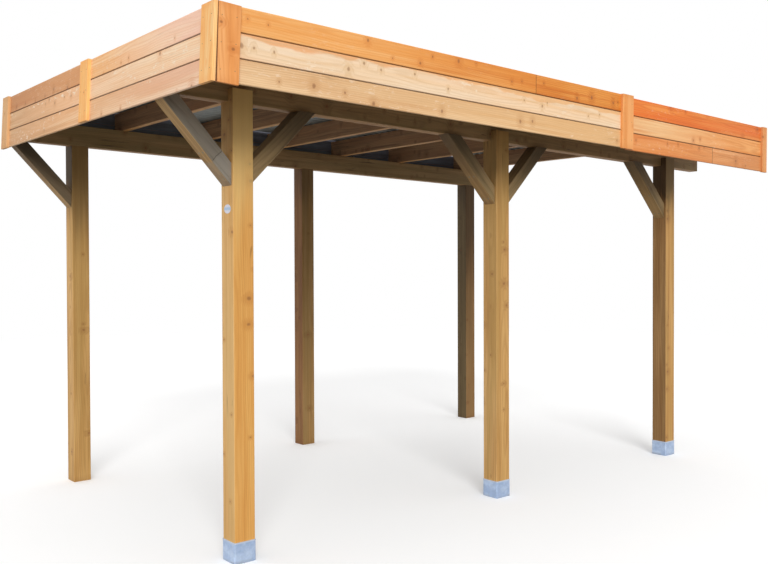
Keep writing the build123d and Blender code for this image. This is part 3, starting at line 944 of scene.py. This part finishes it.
def make_brace_screws():
    """Two screws near each end of every brace, driven up through its lower face."""
    mesh = bmesh.new()
    for node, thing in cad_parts.items():
        if "_brace_" not in node:
            continue
        low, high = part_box(node)
        up = brace_up(node)
        for share in BRACE_SCREW_SHARES:
            along = share if node.endswith("back") else 1 - share
            for side in (-1, 1):
                x = low.x + (high.x - low.x) * along
                y = (low.y + high.y) / 2 + side * (high.y - low.y) * BRACE_SCREW_ASIDE
                start = Vector((x, y, low.z)) - up * 0.3
                hit, place, normal, _ = thing.ray_cast(start, up)
                if hit and normal.dot(up) < -0.9:
                    add_head(mesh, place, normal, *BRACE_SCREW)
    material = fixing_material("brace_screw_zinc", rgb(126, 116, 96), rgb(170, 160, 134), 0.6)
    make_piece("brace_screws", mesh, material)


# --- the bare oval sticker on the near front post ---
STICKER_HALF_WIDTH, STICKER_HALF_HEIGHT, STICKER_THICKNESS = 0.033, 0.0235, 0.0004
STICKER_LEVEL, STICKER_ASIDE = 1.813, 0.003
STICKER_SIDES, STICKER_RINGS = 40, 5
STICKER_BAND_RISE = 0.004


def make_sticker():
    low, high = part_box("near_post_front")
    centre = Vector((low.x, (low.y + high.y) / 2 - STICKER_ASIDE, STICKER_LEVEL))
    mesh = bmesh.new()
    crown = mesh.verts.new(centre - Vector((STICKER_THICKNESS, 0, 0)))
    inner = None
    for ring in range(1, STICKER_RINGS + 2):
        share = min(ring / STICKER_RINGS, 1.0)
        depth = 0.0 if ring > STICKER_RINGS else STICKER_THICKNESS
        loop = []
        for side in range(STICKER_SIDES):
            angle = math.tau * side / STICKER_SIDES
            offset = Vector((-depth, -STICKER_HALF_WIDTH * share * math.cos(angle),
                             STICKER_HALF_HEIGHT * share * math.sin(angle)))
            loop.append(mesh.verts.new(centre + offset))
        for side in range(STICKER_SIDES):
            after = (side + 1) % STICKER_SIDES
            if inner is None:
                mesh.faces.new((crown, loop[side], loop[after]))
            else:
                mesh.faces.new((inner[side], loop[side], loop[after], inner[after]))
        inner = loop
    material, tree, shader, place = new_material("bare_sticker")
    cloud = noise(tree, place, 60.0, 3.0, 0.6)
    wavy = scale_add(tree, cloud, 0.006, axes(tree, place)[2])
    band = size_of(tree, minus(tree, wavy, STICKER_LEVEL + STICKER_BAND_RISE))
    colour = mix(tree, step(tree, band, 0.012, 0.002), rgb(226, 226, 238), rgb(178, 204, 232))
    wear_and_shade_patches = times(tree, step(tree, cloud, 0.55, 0.7), 0.4)
    colour = mix(tree, wear_and_shade_patches, colour, rgb(206, 208, 214))
    coat(tree, shader, colour, scale_add(tree, cloud, 0.2, 0.3), cloud, (0.15, 0.0006))
    make_piece("bare_oval_sticker", mesh, material)


# --- stage, light and camera ---
FLOOR_RADIUS, FLOOR_SIDES, FLOOR_DROP = 60.0, 64, 0.0005
# How far from the object's middle the floor begins and ends to turn into the white backdrop.
FADE_START, FADE_END = 5.0, 14.0
WHITE = (1.0, 1.0, 1.0, 1.0)
FLOOR_PALE, FLOOR_GREY = (0.95, 0.95, 0.95, 1.0), (0.26, 0.26, 0.25, 1.0)
FLOOR_GLOW = 0.12
SKY_LEVEL = 0.84
SUN_LEVEL, SUN_WIDTH = 1.9, math.radians(26)
SUN_TOWARDS = Vector((-0.50, -0.82, 0.44))


def seen_directly(tree):
    """1 for rays from the camera, from gloss and through glass, which see the pale studio."""
    rays = put(tree, "ShaderNodeLightPath").outputs
    direct = calc(tree, "MAXIMUM", rays["Is Camera Ray"], rays["Is Glossy Ray"])
    return calc(tree, "MAXIMUM", direct, rays["Is Transmission Ray"])


def make_floor():
    mesh = bmesh.new()
    bmesh.ops.create_circle(mesh, cap_ends=True, segments=FLOOR_SIDES, radius=FLOOR_RADIUS)
    data = bpy.data.meshes.new("studio_floor")
    mesh.to_mesh(data)
    mesh.free()
    floor = bpy.data.objects.new("studio_floor", data)
    bpy.context.scene.collection.objects.link(floor)
    floor.location.z = cad_low.z - FLOOR_DROP
    material, tree, shader, place = new_material("pale_floor")
    tree.nodes.remove(shader)
    pale = put(tree, "ShaderNodeBsdfDiffuse", {"Color": FLOOR_PALE}).outputs[0]
    white = put(tree, "ShaderNodeEmission", {"Color": WHITE, "Strength": 1.0}).outputs[0]
    faint = put(tree, "ShaderNodeEmission", {"Color": WHITE, "Strength": FLOOR_GLOW}).outputs[0]
    pale = put(tree, "ShaderNodeAddShader", {0: pale, 1: faint}).outputs[0]
    away = step(tree, length_of(tree, place), FADE_START, FADE_END)
    shown = put(tree, "ShaderNodeMixShader", {0: away, 1: pale, 2: white}).outputs[0]
    grey = put(tree, "ShaderNodeBsdfDiffuse", {"Color": FLOOR_GREY}).outputs[0]
    inputs = {0: seen_directly(tree), 1: grey, 2: shown}
    both = put(tree, "ShaderNodeMixShader", inputs).outputs[0]
    tree.links.new(both, tree.nodes["Material Output"].inputs["Surface"])
    data.materials.append(material)


def make_world():
    world = bpy.data.worlds.new("studio")
    bpy.context.scene.world = world
    world.use_nodes = True
    tree = world.node_tree
    background = tree.nodes["Background"].inputs
    background["Color"].default_value = WHITE
    feed(tree, background["Strength"], mix_numbers(tree, seen_directly(tree), SKY_LEVEL, 1.0))


def make_sun():
    data = bpy.data.lights.new("studio_key", "SUN")
    data.energy = SUN_LEVEL
    data.angle = SUN_WIDTH
    lamp = bpy.data.objects.new("studio_key", data)
    lamp.rotation_mode = "QUATERNION"
    lamp.rotation_quaternion = SUN_TOWARDS.to_track_quat("Z", "Y")
    bpy.context.scene.collection.objects.link(lamp)


def make_camera():
    data = bpy.data.cameras.new("camera")
    data.sensor_width = CAMERA_SENSOR
    data.lens = CAMERA_LENS
    data.shift_y = CAMERA_SHIFT
    data.clip_end = CAMERA_REACH
    heading, pitch, roll = CAMERA_HEADING, CAMERA_PITCH, CAMERA_ROLL
    forward = Vector((math.cos(heading) * math.cos(pitch), math.sin(heading) * math.cos(pitch),
                      math.sin(pitch)))
    level_right = Vector((math.sin(heading), -math.cos(heading), 0.0))
    level_up = level_right.cross(forward)
    right = level_right * math.cos(roll) + level_up * math.sin(roll)
    up = level_up * math.cos(roll) - level_right * math.sin(roll)
    turn = Matrix((right, up, -forward)).transposed()
    camera = bpy.data.objects.new("camera", data)
    camera.matrix_world = Matrix.Translation(CAMERA_PLACE) @ turn.to_4x4()
    bpy.context.scene.collection.objects.link(camera)
    bpy.context.scene.camera = camera


make_camera()
make_world()
make_sun()
make_floor()
paint_posts()
paint_frame()
paint_braces()
paint_fascia()
paint_trims()
paint_shoes()
paint_sheets()
make_nails()
make_sheet_screws()
make_brace_screws()
make_sticker()
bpy.context.scene.view_settings.view_transform = "Standard"

bpy.context.view_layer.update()
